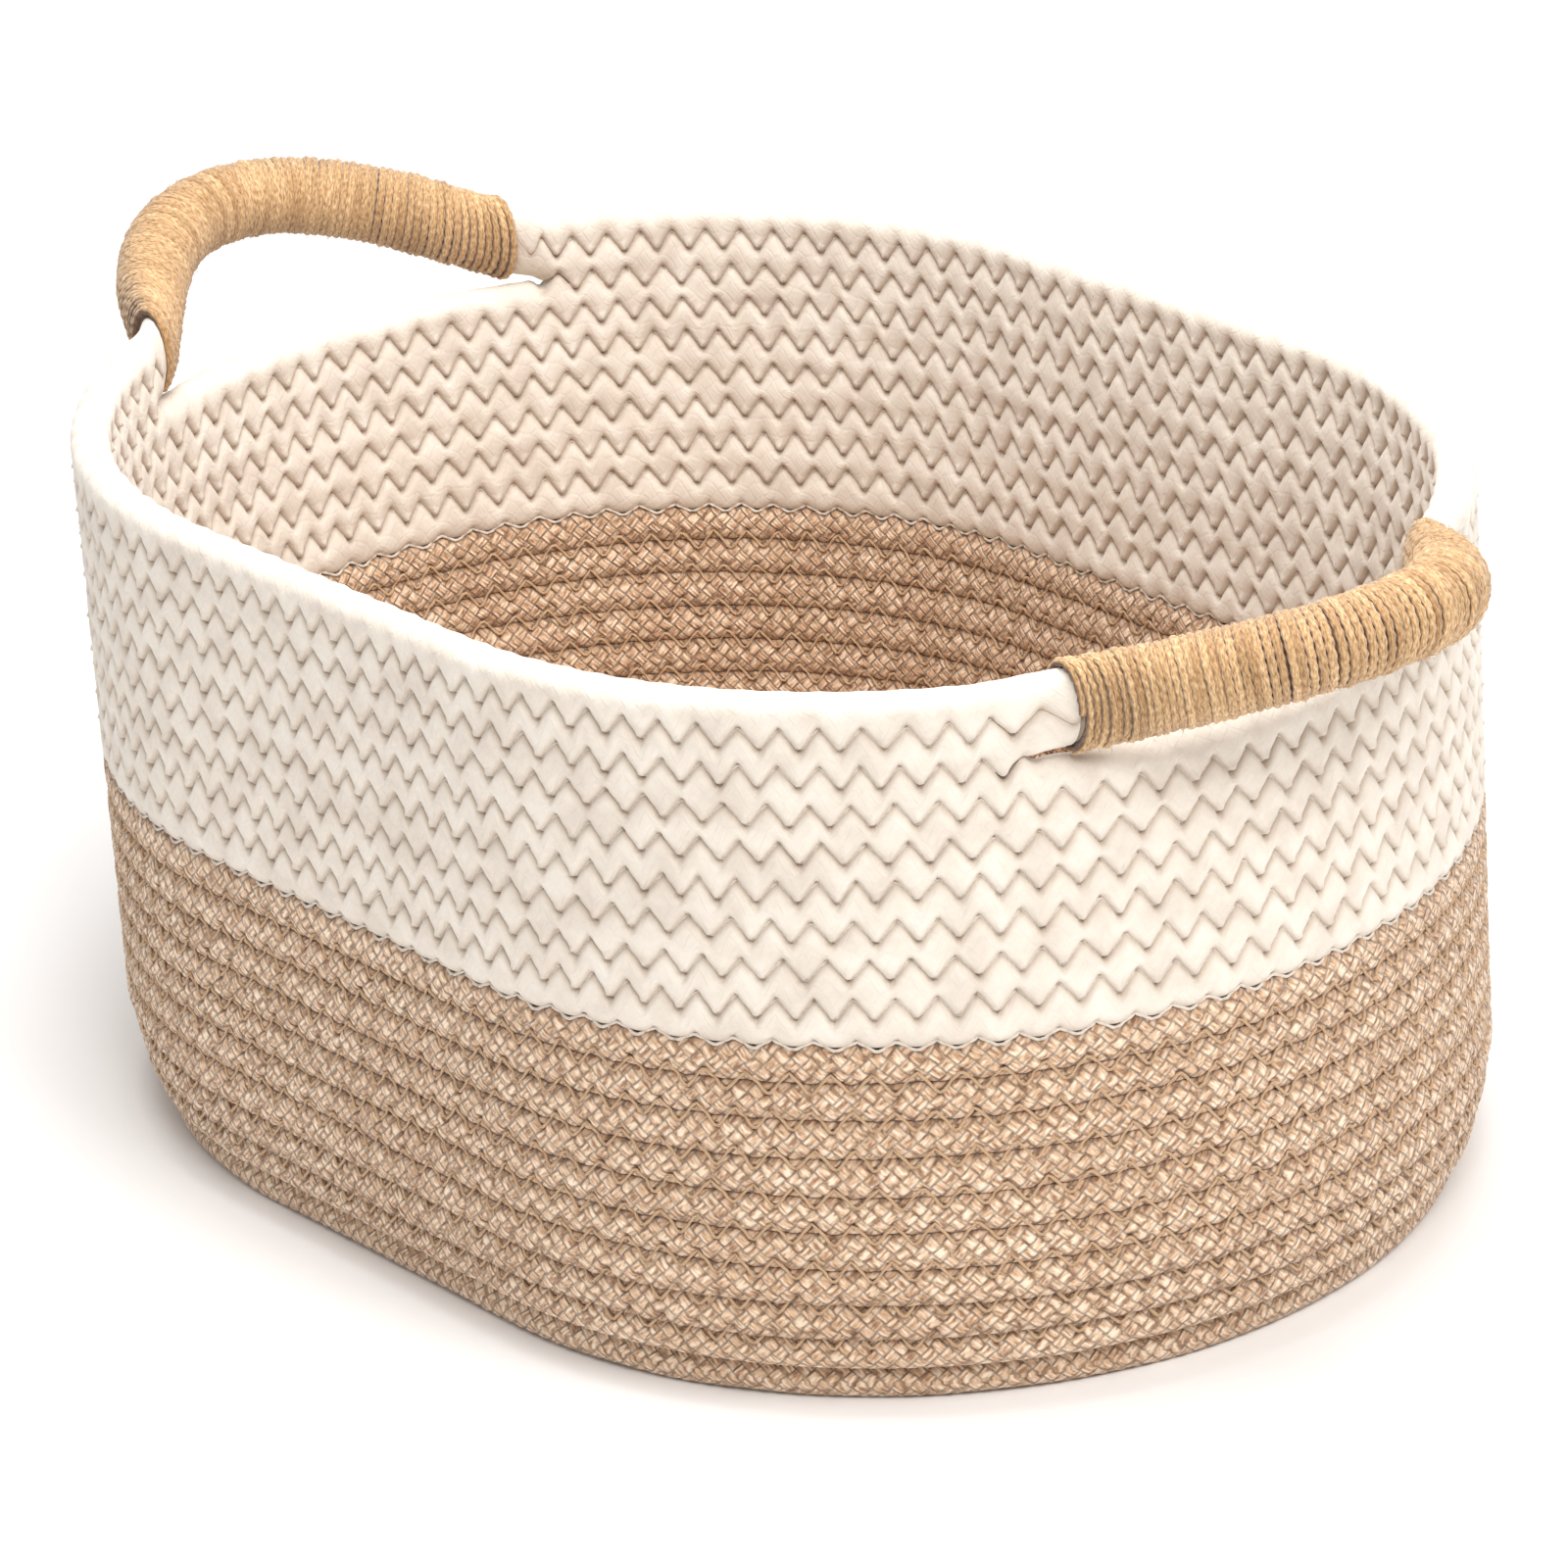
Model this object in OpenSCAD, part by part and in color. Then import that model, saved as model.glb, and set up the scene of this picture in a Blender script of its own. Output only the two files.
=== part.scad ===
// Oval storage basket coiled from rope: a tan base and lower wall, a white upper wall, and at each
// end a carrying handle, made of the two top courses lifted out over the wall and wrapped in twine.
// Millimetres, +Z up, +X along the basket, origin at the middle of the underside.

/* [Rope] */
// Height of one course of rope
course_h = 10; // [9:0.5:11]
// Diameter of the rope before it is pressed flat against its neighbours
rope_d = 10.4; // [10:0.1:11]
// Gap between courses that are sewn to each other
course_gap = 0.12; // [0.1:0.02:0.3]
// Radius of the sewing thread
thread_r = 0.4; // [0.3:0.05:0.4]

/* [Oval] */
// Half the length of the straight part of each long side
straight_half = 55; // [40:1:90]
// Radius of the rounded ends, to the middle of the rope
end_r = 140; // [120:10:160]

/* [Courses] */
// Tan courses in the wall
tan_courses = 9; // [6:1:12]
// White courses that go all the way round, below the two handle courses
white_courses = 7; // [5:1:9]
// How far each side of the outermost base coil is tucked in under the wall
base_tuck = 6.35; // [3:0.05:8]
// How much further the base is tucked in at its ends
base_end_tuck = 3.5; // [0:0.5:5]

/* [Handles] */
// Half the length of a handle, from the middle to the end of the twine
handle_half = 60; // [50:1:70]
// How far the middle of a handle stands out from the wall
handle_out = 37; // [20:1:45]
// How far the middle of a handle rises
handle_rise = 16.5; // [10:0.5:50]
// Outer radius of the twine wrapping
wrap_r = 10.3; // [9:0.1:11]
// Thickness of the twine
twine_d = 2.2; // [1.6:0.2:3]
// How far the ends of a handle lift off the course below
end_lift = 1.6; // [1.4:0.1:3]
// Gap between a handle and the rope that it continues
joint_gap = 0.4; // [0.2:0.1:1]
// Gap between the two strands inside the twine
strand_gap = 0.6; // [0.4:0.1:1]
// How much narrower and how much taller the bundle is at its ends, where the two ropes stand
// one on the other, than in its round middle
end_narrow = 0.27; // [0:0.01:0.3]
end_tall = 0.17; // [0:0.01:0.18]

/* [Hidden] */
$fn = 48;
// The coils of the base, counted from the doubled strand in the middle, and the width each takes
base_coils = round((end_r - base_tuck) / course_h + 0.5);
coil_pitch = (end_r - base_tuck) / (base_coils - 0.5);
// The share of the base's tuck that each of the lowest wall courses takes
tuck_shares = [0.48, 0.2];
wall_courses = tan_courses + white_courses;
ring_top = (1 + wall_courses) * course_h;
handle_z = ring_top + course_h;
groove = rope_d / 2 - 1.1;
rope_h = course_h - course_gap;
handle_steps = 28;
wrap_sides = 18;
strand_sides = 10;
handle_end = 1 - joint_gap / 2 / handle_half;
TAN = [0.80, 0.66, 0.52];
WHITE = [0.95, 0.93, 0.88];
TWINE = [0.82, 0.65, 0.45];
THREAD = [0.86, 0.82, 0.74];

// ---------------------------------------------------------------- the oval
// Sweeps a 2D section round an oval of two straight sides and two round ends. The section's
// origin runs along the line, with its x pointing outwards and its y pointing up.
module oval_sweep(straight, r) {
    for (side = [0, 180]) {
        rotate(side) {
            translate([straight, 0, 0])
                rotate(-90)
                    rotate_extrude(angle = 180)
                        translate([r, 0]) children();
            translate([-straight, r, 0])
                rotate([90, 0, 90])
                    linear_extrude(2 * straight) children();
        }
    }
}

// The same round the oval of the wall, drawn in by a share of the base's tuck
module tucked_sweep(share) {
    oval_sweep(straight_half - share * base_end_tuck, end_r - share * base_tuck) children();
}

// ---------------------------------------------------------------- rope and thread
// A round rope pressed flat above and below, and to the given width at its sides
module rope_section(width = rope_d) {
    intersection() {
        circle(d = rope_d);
        square([width, rope_h], center = true);
    }
}

// The share of the tuck for a wall course, counted from 1 above the base, and for the seam on it
function tuck_share(course) = course > len(tuck_shares) ? 0 : tuck_shares[course - 1];
function seam_share(course) = (tuck_share(course) + tuck_share(course + 1)) / 2;

module wall_course(course) {
    translate([0, 0, (course + 0.5) * course_h])
        tucked_sweep(tuck_share(course)) rope_section();
}

// Two threads, in the grooves outside and inside the seam on top of a wall course
module seam_threads(course) {
    for (out = [-groove, groove])
        translate([0, 0, (course + 1) * course_h])
            tucked_sweep(seam_share(course))
                translate([out, 0]) circle(thread_r);
}

// Keeps what lies beyond the ends of the handles, on the front (-1) or back (1) long side
module beside_handles(side) {
    reach = 2 * (straight_half + end_r);
    cut = handle_half + joint_gap / 2;
    intersection() {
        children();
        translate([-reach, side > 0 ? cut : -cut - reach, 0])
            cube([2 * reach, reach, 2 * handle_z]);
    }
}

// ---------------------------------------------------------------- base
// The first coil is the rope doubled back along itself, and each coil after it is one rope out
module base_coil(coil) {
    color(TAN)
    translate([0, 0, rope_h / 2])
        oval_sweep(straight_half - base_end_tuck, (coil - 0.5) * coil_pitch)
            rope_section(coil_pitch - course_gap);
}

module base_stitching() {
    color(THREAD)
    for (coil = [1:base_coils - 1])
        translate([0, 0, course_h - thread_r - 0.3])
            oval_sweep(straight_half - base_end_tuck, coil * coil_pitch)
                circle(thread_r);
}

// ---------------------------------------------------------------- wall
module tan_course(course) {
    color(TAN) wall_course(course);
}

module white_course(course) {
    color(WHITE) wall_course(tan_courses + course);
}

module tan_stitching() {
    color(THREAD)
    for (course = [1:tan_courses - 1])
        seam_threads(course);
}

module white_stitching() {
    color(THREAD) {
        for (course = [tan_courses:wall_courses - 1])
            seam_threads(course);
        for (course = [wall_courses, wall_courses + 1], side = [-1, 1])
            beside_handles(side) seam_threads(course);
    }
}

// The part of a handle course, 1 or 2, that runs along one long side between the handles
module side_rope(level, side) {
    color(WHITE)
    beside_handles(side) wall_course(wall_courses + level);
}

// ---------------------------------------------------------------- handles
// How far out a handle is at t, from -1 at one end to 1 at the other: flat in the middle,
// and eased into the line of the wall at both ends
ease = 0.1;
function bow(t) = ease * ln(1 + exp((1 - pow(abs(t), 2.2)) / ease));

function handle_point(t) = let (y = t * handle_half, b = bow(t)) [
    straight_half + sqrt(end_r * end_r - y * y) + handle_out * b,
    y,
    handle_z + end_lift + handle_rise * b
];

function unit(v) = v / norm(v);
function along(t) = unit(handle_point(t + 0.01) - handle_point(t - 0.01));

// A ring's plane turns from square to the rope, in the middle, to square to the hinge line
function ring_normal(t) = let (k = pow(abs(t) / handle_end, 3)) unit(k * [0, 1, 0] + (1 - k) * along(t));

// One ring of points: the section [out, up] laid in the plane of the ring
function ring(section, t) = let (
    p = handle_point(t),
    n = ring_normal(t),
    up = unit([0, 0, 1] - n * n[2]),
    out = cross(n, up),
    k = pow(abs(t), 4),
    wide = 1 - end_narrow * k,
    tall = 1 + end_tall * k
) [for (s = section) p + out * s[0] * wide + up * s[1] * tall];

function rings(section) = [
    for (i = [0:handle_steps]) each ring(section, handle_end * (2 * i / handle_steps - 1))
];

function skin(count, start) = [
    for (i = [0:handle_steps - 1], j = [0:count - 1])
        let (a = start + i * count, k = (j + 1) % count)
            [a + j, a + k, a + count + k, a + count + j]
];

function flipped(faces) = [for (f = faces) [f[3], f[2], f[1], f[0]]];

function round_outline(r) = [
    for (j = [0:wrap_sides - 1]) r * [cos(j * 360 / wrap_sides), sin(j * 360 / wrap_sides)]
];

// Half of a round bundle, above (1) or below (-1) the gap between its two strands
function half_outline(r, side) = [
    for (j = [0:strand_sides])
        let (angle = j * 180 / strand_sides + (side < 0 ? 180 : 0))
            r * [cos(angle), sin(angle)] + [0, side * strand_gap / 2]
];

// The right-hand handle stands as it is worked out, and the left-hand one is turned half round
module placed(side) {
    rotate(side == "left" ? 180 : 0) children();
}

module handle_strand(side, level) {
    section = half_outline(wrap_r - twine_d - strand_gap, level);
    count = len(section);
    last = handle_steps * count;
    color(WHITE)
    placed(side)
        polyhedron(
            rings(section),
            concat(
                skin(count, 0),
                [[for (j = [count - 1:-1:0]) j]],
                [[for (j = [0:count - 1]) last + j]]
            )
        );
}

module handle_twine(side) {
    outer = rings(round_outline(wrap_r));
    inner = rings(round_outline(wrap_r - twine_d));
    within = len(outer);
    last = handle_steps * wrap_sides;
    ends = [
        for (j = [0:wrap_sides - 1])
            let (k = (j + 1) % wrap_sides)
                each [
                    [j, within + j, within + k, k],
                    [last + k, within + last + k, within + last + j, last + j]
                ]
    ];
    color(TWINE)
    placed(side)
        polyhedron(
            concat(outer, inner),
            concat(skin(wrap_sides, 0), flipped(skin(wrap_sides, within)), ends)
        );
}

// ---------------------------------------------------------------- every piece by name
for (i = [1:base_coils])
    base_coil(i);
for (i = [1:tan_courses])
    tan_course(i);
for (i = [1:white_courses])
    white_course(i);
side_rope(1, -1);  // second_rope_front
side_rope(1, 1);  // second_rope_back
side_rope(2, -1);  // rim_rope_front
side_rope(2, 1);  // rim_rope_back
base_stitching();
tan_stitching();
white_stitching();
for (side = ["left", "right"]) {
    handle_strand(side, 1);
    handle_strand(side, -1);
    handle_twine(side);
}
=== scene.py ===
"""The looks of an oval storage basket coiled from rope, with two handles wrapped in jute twine.

Every rope is a tube of its own, in the place of its CAD node. The zigzag seams pinch the white rope
into lobes, and lie over the tan rope, which is a flecked braid. Metres, in the frame of the CAD model.
"""
import math

import bpy
import numpy as np
from mathutils import Matrix, Vector


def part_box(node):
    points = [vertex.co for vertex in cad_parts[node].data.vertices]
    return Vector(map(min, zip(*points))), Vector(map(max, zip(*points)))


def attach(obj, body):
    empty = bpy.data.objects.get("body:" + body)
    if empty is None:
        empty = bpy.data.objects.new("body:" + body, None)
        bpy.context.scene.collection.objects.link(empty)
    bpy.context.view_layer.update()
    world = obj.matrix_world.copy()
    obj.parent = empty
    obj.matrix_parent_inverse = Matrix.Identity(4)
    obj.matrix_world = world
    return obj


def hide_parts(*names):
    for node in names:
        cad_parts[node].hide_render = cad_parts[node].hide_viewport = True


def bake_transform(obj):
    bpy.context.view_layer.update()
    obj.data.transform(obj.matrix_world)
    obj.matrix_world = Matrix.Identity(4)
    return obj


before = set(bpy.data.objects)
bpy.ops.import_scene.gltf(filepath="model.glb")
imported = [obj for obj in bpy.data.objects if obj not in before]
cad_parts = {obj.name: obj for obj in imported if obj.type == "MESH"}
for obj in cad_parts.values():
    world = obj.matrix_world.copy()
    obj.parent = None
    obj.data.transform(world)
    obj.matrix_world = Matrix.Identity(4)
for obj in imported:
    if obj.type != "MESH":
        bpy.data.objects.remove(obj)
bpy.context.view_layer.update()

MM = 0.001
# A step of this share of a turn never lines up with the steps before it
GOLDEN = 0.618

# ---------------------------------------------------------------- sizes
# Courses of rope: the radius of the rope, of its flattened form in the base, and at a seam and at a
# free edge, half the gap between two ropes, and how uneven a rope's surface is
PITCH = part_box("tan_course_3")[0].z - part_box("tan_course_2")[0].z
TAN_COURSES = 9
WHITE_COURSES = 7
WALL_COURSES = TAN_COURSES + WHITE_COURSES
BASE_COILS = 14
ROPE_R = 5.2 * MM
COIL_R = 4.94 * MM
SEAM_R = 3.5 * MM
FREE_EDGE_R = 0.3 * MM
SLIT = 0.05 * MM
UNEVEN = 0.22 * MM

# How far a seam's painted shade reaches, and how much of a needle hole's painted shade it has
PAINTED_SHADE_REACH = 1.5 * MM
SEAM_SHADE = 0.55

# The wall's oval, to the middle of the rope
WALL_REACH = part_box("tan_course_4")[1]
STRAIGHT = WALL_REACH.x - WALL_REACH.y
END_R = WALL_REACH.y - ROPE_R

# Zigzag stitching: the length of a wave and how far it swings to each side, how far the white rope
# meets the tan one in and out with it, how deep the thread sinks into the rope, and at the needle
# holes, and the small lumps above the lower holes
WAVE = 9.7 * MM
SWING = 2.65 * MM
COLOUR_CHANGE_SWING = 1.2 * MM
COLOUR_CHANGE_EDGE = 0.5 * MM
TAN_EDGE = 0.15 * MM
THREAD_R = 0.46 * MM
THREAD_DENT = 0.4 * MM
DENT_R = 0.55 * MM
THREAD_SINK = 0.1 * MM
CORNER_SINK = 0.9 * MM
HOLE_R = 0.7 * MM
HOLE_DEPTH = 1.0 * MM
BEAD = 1.3 * MM
BEAD_R = 0.7 * MM

# The braid of the rope: the width of a strand, the same measured along the rope, which the strands
# cross at 45 degrees, and how far the tan rope's strands stand out
STRAND = 3.2 * MM
CELL = math.sqrt(2) * STRAND
BRAID_RELIEF = 0.42 * MM

# Handles, as in the CAD model
HANDLE_HALF = 60 * MM
HANDLE_OUT = 37 * MM
HANDLE_RISE = 16.5 * MM
END_LIFT = 1.6 * MM
END_NARROW = 0.27
END_TALL = 0.17
EASE = 0.1
HANDLE_Z = (WALL_COURSES + 2) * PITCH

# The wrapping: the bundle of rope, the twine's under layer and the twine, the length of one twist of
# its plies, how often it goes from thick to thin, the grain of its colour, how unevenly its turns lie
# in and out, and along as a share of a turn, its loose fibres, and the shares of a handle that the
# twine and its under layer cover
BUNDLE_R = 8.35 * MM
BED_R = 9.2 * MM
TWINE_R = 1.22 * MM
TWINE_TURNS = 78
TURN_STOPS = 56
TWINE_TWIST = 6.0 * MM
TWINE_KNOTS = 6.0 * MM
TWINE_CELL = 2.2 * MM
TWINE_SAG = 0.32 * MM
TWINE_LEAD = 0.12
HAIRS = 1500
HAIR_R = 0.055 * MM
TWINE_END = 0.998
BED_END = 0.985

# The end of each rope beside a handle, between the wall and the handle
TAIL = 14 * MM

# Where the two handle courses leave the wall, as shares of half a handle's length from the middle
# plane: each change is over at the first and has not begun beyond the second
LIFTED = (1.0, 1.3)
SQUEEZED = (1.0, 1.2)
PARTED = (1.05, 1.25)
BARED = (1.04, 1.16)

# How finely things are drawn
STEP = 0.76 * MM
BASE_STEP = 1.0 * MM
END_STEP = 0.05 * MM
THREAD_STEP = WAVE / 10
BASE_THREAD_STEP = WAVE / 9
FACE_POINTS = 14
HANDLE_STOPS = 90

# The camera: degrees round from the front, above the floor and tilted, how far off it stands, the
# height of the point it turns about, how far it is shifted across and down, and its lens
CAMERA_TURN = 51.572
CAMERA_RISE = 23.26
CAMERA_TILT = -3.84
CAMERA_DISTANCE = 1.9696
CAMERA_AIM = 0.0937
CAMERA_SHIFT = (1.0 * MM, -3.5 * MM)
CAMERA_LENS = 172.9

# Lamps and sky, slightly warm
LAMP_COLOUR = (1, 0.985, 0.97)
KEY_COLOUR = (1, 0.985, 0.96)
SKY_COLOUR = (1, 0.99, 0.98, 1)
SKY_STRENGTH = 0.5


# ---------------------------------------------------------------- small sums
def smooth(x):
    """0 below 0, 1 above 1, and an even ramp between."""
    x = np.clip(x, 0, 1)
    return x * x * (3 - 2 * x)


def nearer(t, span):
    """1 at and below the first of the span's two values, 0 at and above the second."""
    return smooth((span[1] - t) / (span[1] - span[0]))


def zigzag(x):
    """A zigzag from -1 to 1 with rounded corners, up first, once for each whole number."""
    return np.arcsin(0.955 * np.sin(2 * np.pi * x)) / math.asin(0.955)


def ripple(x, y, seed):
    """A smooth uneven surface, roughly from -1 to 1, that repeats each whole number of x."""
    rng = np.random.default_rng(seed)
    total = 0
    for _ in range(5):
        turns = rng.integers(1, 40)
        tilt = rng.uniform(-0.6, 0.6) / MM
        start = rng.uniform(0, 2 * np.pi)
        total = total + np.sin(2 * np.pi * turns * x + tilt * y + start)
    return total / 2.6


def braid_relief(along, around):
    """How far the strands of a braid stand out, from 0 in the gaps to 1 on a strand's middle."""
    # Places along the braid's two families of strands
    a, b = along + around, along - around
    odd = (np.floor(a) + np.floor(b)) % 2
    run = np.where(odd, b, a) % 1
    across = np.where(odd, a, b) % 1
    crown = np.sqrt(np.clip(1 - (2 * across - 1) ** 2, 0, 1))
    dive = 0.45 + 0.55 * np.sin(np.pi * run)
    return crown * dive


# ---------------------------------------------------------------- the oval
class Way:
    """Stops along an oval of two straight sides and two round ends, from the +X end, anticlockwise."""

    def __init__(self, straight, radius, step=STEP, start=0.0, stop=None):
        quarter = radius * math.pi / 2
        knots = np.cumsum([0, quarter, 2 * straight, 2 * quarter, 2 * straight, quarter])
        turns = math.pi * np.array([0, 0.5, 0.5, 1.5, 1.5, 2])
        runs = straight * np.array([0, 0, 2, 2, 4, 4])
        self.total = knots[-1]
        closed = stop is None
        stop = self.total if closed else stop
        self.length = np.linspace(start, stop, max(24, round((stop - start) / step)) + 1)
        if not closed:
            # A stop close to each end shades it like the start of the piece that goes on from it
            self.length = np.insert(self.length, [1, -1], [start + END_STEP, stop - END_STEP])
        self.angle = np.interp(self.length, knots, turns)
        self.run = np.interp(self.length, knots, runs)
        self.straight = straight
        self.share = self.length / self.total

    def middle(self, straight):
        """Where the round ends' centre lies along X, for an oval with this straight half-length."""
        return (np.abs(self.run - 2 * self.straight) - self.straight) * straight / self.straight

    def normal(self):
        return np.cos(self.angle), np.sin(self.angle)


# ---------------------------------------------------------------- meshes
def wind(rings, sides, closed):
    """The quads of a tube of rings, as corner numbers [ring, side] pairs flattened to two arrays."""
    i, j = np.meshgrid(np.arange(rings if closed else rings - 1), np.arange(sides), indexing="ij")
    i = i.ravel()[:, None] + np.array([0, 1, 1, 0])
    j = j.ravel()[:, None] + np.array([0, 0, 1, 1])
    return i, j


class Builder:
    """Gathers tubes, then makes one object of them."""

    def __init__(self):
        self.points = []
        self.corners = []
        self.sizes = []
        self.maps = []
        self.flat = []
        self.grooves = []
        self.count = 0

    def tube(self, points, u, v, closed=False, groove=None):
        """points[ring, side] of a closed section, with u along it and v round it, in strand widths.
        A closed tube's u has one more value than it has rings. The last argument gives each point's
        painted shade, from 0 for none to 1 for full, as in seams, needle holes and under the twine."""
        rings, sides = points.shape[:2]
        self.grooves.append(np.zeros(rings * sides) if groove is None else groove.ravel())
        i, j = wind(rings, sides, closed)
        v = np.append(v, 2 * v[-1] - v[-2])
        self.corners.append((self.count + (i % rings) * sides + j % sides).ravel())
        self.sizes.append(np.full(len(i), 4))
        self.flat.append(np.zeros(len(i), bool))
        self.maps.append(np.stack([u[i], v[j]], -1).reshape(-1, 2))
        if not closed:
            first = self.count + np.arange(sides)[::-1]
            last = self.count + (rings - 1) * sides + np.arange(sides)
            self.corners += [first, last]
            self.sizes.append(np.array([sides, sides]))
            self.flat.append(np.ones(2, bool))
            self.maps.append(np.stack([np.full(sides, u[0]), v[:-1][::-1]], -1))
            self.maps.append(np.stack([np.full(sides, u[-1]), v[:-1]], -1))
        self.points.append(points.reshape(-1, 3))
        self.count += rings * sides

    def make(self, name, material):
        points = np.concatenate(self.points)
        corners = np.concatenate(self.corners)
        sizes = np.concatenate(self.sizes)
        starts = np.concatenate([[0], np.cumsum(sizes)[:-1]])
        mesh = bpy.data.meshes.new(name)
        mesh.vertices.add(len(points))
        mesh.vertices.foreach_set("co", points.astype(np.float32).ravel())
        mesh.loops.add(len(corners))
        mesh.loops.foreach_set("vertex_index", corners.astype(np.int32))
        mesh.polygons.add(len(sizes))
        mesh.polygons.foreach_set("loop_start", starts.astype(np.int32))
        mesh.polygons.foreach_set("use_smooth", ~np.concatenate(self.flat))
        mesh.update(calc_edges=True)
        mesh.uv_layers.new(name="rope").data.foreach_set(
            "uv", np.concatenate(self.maps).astype(np.float32).ravel()
        )
        # Each point's painted shade, which the materials darken the colour by
        groove = mesh.attributes.new("groove", "FLOAT", "POINT")
        groove.data.foreach_set("value", np.concatenate(self.grooves).astype(np.float32))
        mesh.validate()
        mesh.materials.append(material)
        piece = bpy.data.objects.new(name, mesh)
        bpy.context.scene.collection.objects.link(piece)
        return piece


def place(piece, body, slot, *nodes):
    """Lets the piece stand for its CAD nodes and move with their body."""
    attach(piece, body)
    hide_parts(*nodes)


# ---------------------------------------------------------------- materials
class Surface:
    """A material's nodes. An input is a number, a colour or another node's output."""

    def __init__(self, name, roughness, sheen):
        self.material = bpy.data.materials.new(name)
        self.material.use_nodes = True
        self.tree = self.material.node_tree
        self.shader = self.tree.nodes["Principled BSDF"]
        self.shader.inputs["Roughness"].default_value = roughness
        self.shader.inputs["Specular IOR Level"].default_value = 0.2
        self.shader.inputs["Sheen Weight"].default_value = sheen
        self.shader.inputs["Sheen Roughness"].default_value = 0.6

    def put(self, socket, value):
        if isinstance(value, bpy.types.NodeSocket):
            self.tree.links.new(value, socket)
        else:
            socket.default_value = value

    def add(self, kind, inputs, output=0, **settings):
        node = self.tree.nodes.new("ShaderNode" + kind)
        for name, value in settings.items():
            setattr(node, name, value)
        for name, value in inputs.items():
            self.put(node.inputs[name], value)
        return node.outputs[output]

    def sum(self, operation, a, b=0.0, c=0.0):
        return self.add("Math", {0: a, 1: b, 2: c}, operation=operation)

    def vector(self, x, y, z=0.0):
        return self.add("CombineXYZ", {"X": x, "Y": y, "Z": z})

    def noise(self, vector, scale, detail=2.0):
        return self.add("TexNoise", {"Vector": vector, "Scale": scale, "Detail": detail})

    def range(self, value, low, high, to_low=0.0, to_high=1.0):
        inputs = {"Value": value, "From Min": low, "From Max": high, "To Min": to_low, "To Max": to_high}
        return self.add("MapRange", inputs)

    def ramp(self, value, stops):
        node = self.tree.nodes.new("ShaderNodeValToRGB")
        while len(node.color_ramp.elements) < len(stops):
            node.color_ramp.elements.new(0.5)
        for element, (place_at, colour) in zip(node.color_ramp.elements, stops):
            element.position = place_at
            element.color = (*colour, 1)
        self.put(node.inputs["Fac"], value)
        return node.outputs["Color"]

    def mix(self, share, a, b, blend="MIX"):
        node = self.tree.nodes.new("ShaderNodeMix")
        node.data_type = "RGBA"
        node.blend_type = blend
        for number, value in ((0, share), (6, a), (7, b)):
            self.put(node.inputs[number], value)
        return node.outputs[2]

    def grey(self, value):
        return self.vector(value, value, value)

    def rope_map(self):
        """Places along and round the rope, in strand widths."""
        uv = self.add("UVMap", {}, uv_map="rope")
        return self.add("SeparateXYZ", {0: uv}), self.add("SeparateXYZ", {0: uv}, output=1)

    def grooved(self, colour, shade):
        """The colour, multiplied towards a painted shade colour by the points' painted shade: in the
        seams and needle holes, under the twine and on the twine's inner side.
        """
        groove = self.add("Attribute", {}, output=2, attribute_name="groove")
        tint = self.mix(groove, (1, 1, 1, 1), (*shade, 1))
        return self.mix(1.0, colour, tint, "MULTIPLY")

    def finish(self, colour, height, distance):
        self.put(self.shader.inputs["Base Color"], colour)
        bump = self.add("Bump", {"Height": height, "Distance": distance, "Strength": 1.0})
        self.put(self.shader.inputs["Normal"], bump)
        return self.material


def braided(surface, yarns):
    """Streaks that run along the yarns of a braid, and how open the braid is at each place."""
    along, around = surface.rope_map()
    a = surface.sum("ADD", along, around)
    b = surface.sum("SUBTRACT", along, around)
    cells = surface.sum("ADD", surface.sum("FLOOR", a), surface.sum("FLOOR", b))
    odd = surface.sum("FLOORED_MODULO", cells, 2.0)
    run = surface.add("Mix", {0: odd, 2: a, 3: b})
    across = surface.add("Mix", {0: odd, 2: b, 3: a})
    drift = surface.sum("MULTIPLY_ADD", odd, 31.7, run)
    streak = surface.noise(surface.vector(drift, surface.sum("MULTIPLY", across, yarns)), 1.0)
    side = surface.sum("PINGPONG", across, 0.5)
    end = surface.sum("PINGPONG", run, 0.5)
    open_side = surface.range(side, 0.0, 0.17)
    open_end = surface.range(end, 0.0, 0.12, 0.35, 1.0)
    crown = surface.sum("MULTIPLY", open_side, open_end)
    yarn = surface.sum("PINGPONG", surface.sum("MULTIPLY", across, yarns), 0.5)
    return streak, crown, yarn


def tan_rope_material():
    surface = Surface("tan_braided_rope", 0.86, 0.25)
    streak, crown, yarn = braided(surface, 3.0)
    place_at = surface.add("TexCoord", {}, output=3)
    flecks = surface.ramp(
        streak,
        [
            (0.34, (0.31, 0.18, 0.11)),
            (0.42, (0.54, 0.345, 0.21)),
            (0.52, (0.74, 0.52, 0.355)),
            (0.62, (0.91, 0.75, 0.585)),
        ],
    )
    tint = surface.ramp(
        surface.noise(place_at, 60.0),
        [(0.35, (0.90, 0.86, 0.82)), (0.65, (1.0, 1.0, 1.0))],
    )
    # Painted shade: the braid is darker down in the gaps between its strands
    depth = surface.range(crown, 0.0, 1.0, 0.50, 1.0)
    shaded = surface.mix(1.0, flecks, surface.grey(depth), "MULTIPLY")
    # Painted shade in the seams and needle holes, dark brown
    colour = surface.grooved(surface.mix(1.0, shaded, tint, "MULTIPLY"), (0.38, 0.28, 0.21))
    fibres = surface.sum("MULTIPLY_ADD", streak, 0.5, surface.sum("MULTIPLY", yarn, 0.8))
    height = surface.sum("MULTIPLY_ADD", crown, 1.0, fibres)
    return surface.finish(colour, height, 0.35 * MM)


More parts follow.
